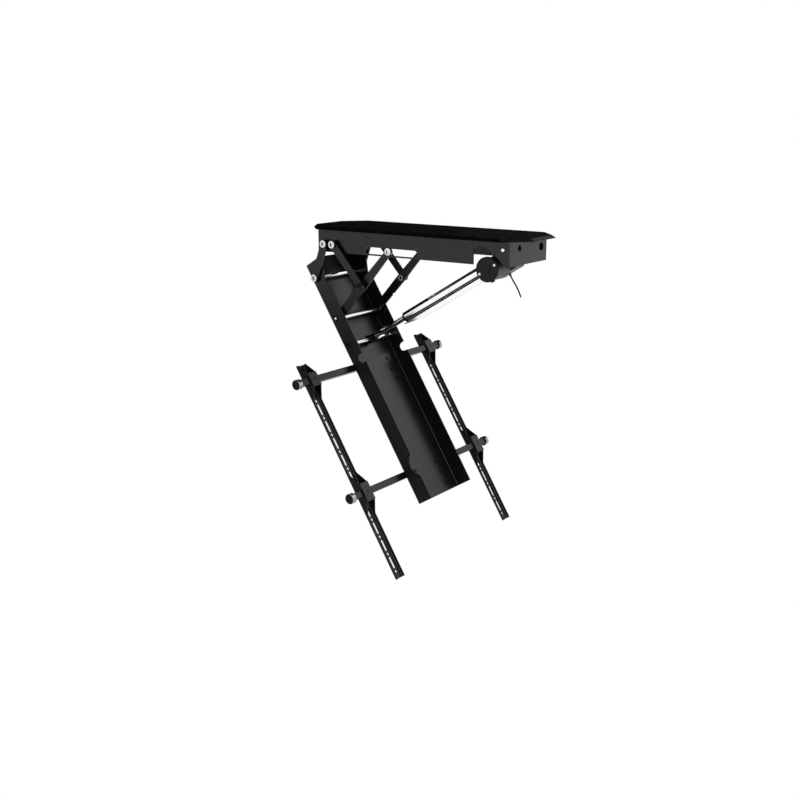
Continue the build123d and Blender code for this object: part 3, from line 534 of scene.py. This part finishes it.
def makeTube():
    # drawn tube with a small chamfer at its mouth, and a black strip of painted shade under it where the switch
    # profile sits
    piece = addOnRam(tube["radius"], tube["start"], tube["end"] - tube["edge"], sides=96)
    selectFaces(piece, isFront)
    insetBy(tube["edge"])
    slideBy(tube["edge"])
    insetBy(tube["radius"] - tube["edge"] - tube["bore"])
    slideBy(-tube["boreDepth"], extrude=True)
    bpy.ops.object.mode_set(mode="OBJECT")
    piece.data.materials.append(finishes["tube_aluminium"])
    piece.data.materials.append(finishes["cap_plastic"])
    bpy.ops.object.transform_apply(location=True, rotation=True, scale=True)
    down = Vector((-ramLine["step"][1], 0, ramLine["step"][0]))
    # faces turned down within the angle get black plastic: painted shade in the crease between the tube and the
    # switch profile
    for face in piece.data.polygons:
        face.material_index = 1 if face.normal.dot(down) > cos(radians(tube["paintedShadeAngle"])) else 0
    settlePiece(piece, {"name": "actuatorTube", "body": "actuator", "node": "actuator_tube",
                        "slot": "tube_aluminium"}, bothSides=False)


makeTube()


ramRod = {"start": 320.0, "end": 577.0, "radius": 8.0, "bore": 5.8, "boreDepth": 240.0, "edge": 0.5}  # as the tube


def makeRamRod():
    # ground and chromed rod, bored from its inner end for the lead screw
    piece = addOnRam(ramRod["radius"], ramRod["start"], ramRod["end"] - ramRod["edge"], sides=64)
    selectFaces(piece, isFront)
    insetBy(ramRod["edge"])
    slideBy(ramRod["edge"])
    selectFaces(piece, isBack)
    insetBy(ramRod["radius"] - ramRod["bore"])
    slideBy(ramRod["boreDepth"], extrude=True)
    bpy.ops.object.mode_set(mode="OBJECT")
    piece.data.materials.append(finishes["bright_steel"])
    bpy.ops.object.transform_apply(location=True, rotation=True, scale=True)
    settlePiece(piece, {"name": "ramRod", "body": "ram", "node": "ram_rod", "slot": "bright_steel"},
                bothSides=False)


makeRamRod()


# floor, background and light

room = {"floorHeight": -2.4, "floorSize": 30.0, "floorColor": "#f2f2f2", "ambient": 0.35}  # in metres


def addWhiteWhere(tree):
    # 1 for what the camera sees, directly or in metal and glass, and 0 for the light on the object
    path = addNode(tree, "ShaderNodeLightPath")
    mirrored = addNode(tree, "ShaderNodeMath", {"operation": "MAXIMUM"},
                       {0: path.outputs["Is Glossy Ray"], 1: path.outputs["Is Transmission Ray"]})
    seen = addNode(tree, "ShaderNodeMath", {"operation": "MAXIMUM"},
                   {0: path.outputs["Is Camera Ray"], 1: mirrored.outputs[0]})
    return seen.outputs[0]


def makeFloor():
    bpy.ops.object.select_all(action="DESELECT")
    bpy.ops.mesh.primitive_plane_add(size=room["floorSize"], location=(0, 0, room["floorHeight"]))
    floor = bpy.context.object
    floor.name = "floor"
    material = bpy.data.materials.new("paleFloor")
    material.use_nodes = True
    tree = material.node_tree
    tree.nodes.clear()
    matt = addNode(tree, "ShaderNodeBsdfDiffuse", {"Color": hexColor(room["floorColor"])})
    white = addNode(tree, "ShaderNodeEmission", {"Color": (1, 1, 1, 1), "Strength": 1.0})
    mix = addNode(tree, "ShaderNodeMixShader",
                  links={0: addWhiteWhere(tree), 1: matt.outputs[0], 2: white.outputs[0]})
    addNode(tree, "ShaderNodeOutputMaterial", links={"Surface": mix.outputs[0]})
    floor.data.materials.append(material)


def makeWorld():
    world = bpy.data.worlds.new("room")
    bpy.context.scene.world = world
    world.use_nodes = True
    tree = world.node_tree
    tree.nodes.clear()
    strength = addNode(tree, "ShaderNodeMapRange", {"To Min": room["ambient"], "To Max": 1.0},
                       {"Value": addWhiteWhere(tree)})
    light = addNode(tree, "ShaderNodeBackground", {"Color": (1, 1, 1, 1)}, {"Strength": strength.outputs[0]})
    addNode(tree, "ShaderNodeOutputWorld", links={"Surface": light.outputs[0]})


flags = {  # dark cards round the object that only reflections see, as a studio sets them for bright metal
    "backFlag": {"place": (-2.6, 3.0, 1.25), "size": (1.6, 2.7), "turn": (90, 0, 0), "tone": "#050505"},
    "rightFlag": {"place": (-0.65, 3.0, 1.25), "size": (2.3, 2.7), "turn": (90, 0, 0), "tone": "#1f1f1f"},
    "leftFlag": {"place": (-3.4, 0.3, 1.2), "size": (5.4, 2.8), "turn": (90, 0, 90), "tone": "#030303"},
    "topFlag": {"place": (-1.1, 0.3, 2.3), "size": (4.2, 4.2), "turn": (0, 0, 0), "tone": "#030303"},
    "frontFlag": {"place": (-1.147, -1.1, -1.305), "size": (1.3, 1.6), "turn": (90, -24.1, 0),
                  "tone": "#030303"},
    "floorFlag": {"place": (-0.15, -0.75, -2.35), "size": (1.5, 1.95), "turn": (0, 0, 0), "tone": "#2c2c2c"},
}


def makeFlags():
    for name, facts in flags.items():
        bpy.ops.object.select_all(action="DESELECT")
        bpy.ops.mesh.primitive_plane_add(size=1.0, location=facts["place"])
        card = bpy.context.object
        card.name = name
        card.scale = (*facts["size"], 1.0)
        card.rotation_euler = [radians(angle) for angle in facts["turn"]]
        material = bpy.data.materials.new(name)
        material.use_nodes = True
        material.node_tree.nodes.clear()
        glow = addNode(material.node_tree, "ShaderNodeEmission", {"Color": hexColor(facts["tone"])})
        addNode(material.node_tree, "ShaderNodeOutputMaterial", links={"Surface": glow.outputs[0]})
        card.data.materials.append(material)
        card.visible_camera = False
        card.visible_diffuse = False
        card.visible_shadow = False


lamps = {  # disks, turned to the middle of the object; size in metres, power in watts
    "keyLamp": {"place": (3.4, -1.2, 1.0), "size": 1.6, "power": 25.0},
    "backLamp": {"place": (2.1, 3.3, 1.9), "size": 2.4, "power": 8.0},
    "fillLamp": {"place": (-1.6, -3.2, 0.6), "size": 2.0, "power": 4.0},
}
lampAim = Vector((-0.05, 0, -0.4))


def makeLamps():
    for name, facts in lamps.items():
        lamp = bpy.data.lights.new(name, "AREA")
        lamp.shape = "DISK"
        lamp.size = facts["size"]
        lamp.energy = facts["power"]
        piece = bpy.data.objects.new(name, lamp)
        bpy.context.scene.collection.objects.link(piece)
        piece.location = facts["place"]
        piece.rotation_euler = (lampAim - piece.location).to_track_quat("-Z", "Y").to_euler()


camera = {  # turn and tilt down in degrees, lens and sensor in mm
    "place": (1.7733, -2.6112, 0.3017), "turn": 35.654, "down": 14.204, "lens": 50.04, "sensor": 36.0,
}


def makeCamera():
    view = bpy.data.cameras.new("camera")
    view.lens = camera["lens"]
    view.sensor_width = camera["sensor"]
    piece = bpy.data.objects.new("camera", view)
    bpy.context.scene.collection.objects.link(piece)
    piece.location = camera["place"]
    piece.rotation_euler = (radians(90 - camera["down"]), 0, radians(camera["turn"]))
    bpy.context.scene.camera = piece


makeFloor()
makeWorld()
makeFlags()
makeLamps()
makeCamera()
bpy.context.scene.view_settings.view_transform = "Standard"
print("room, lamps and camera made")
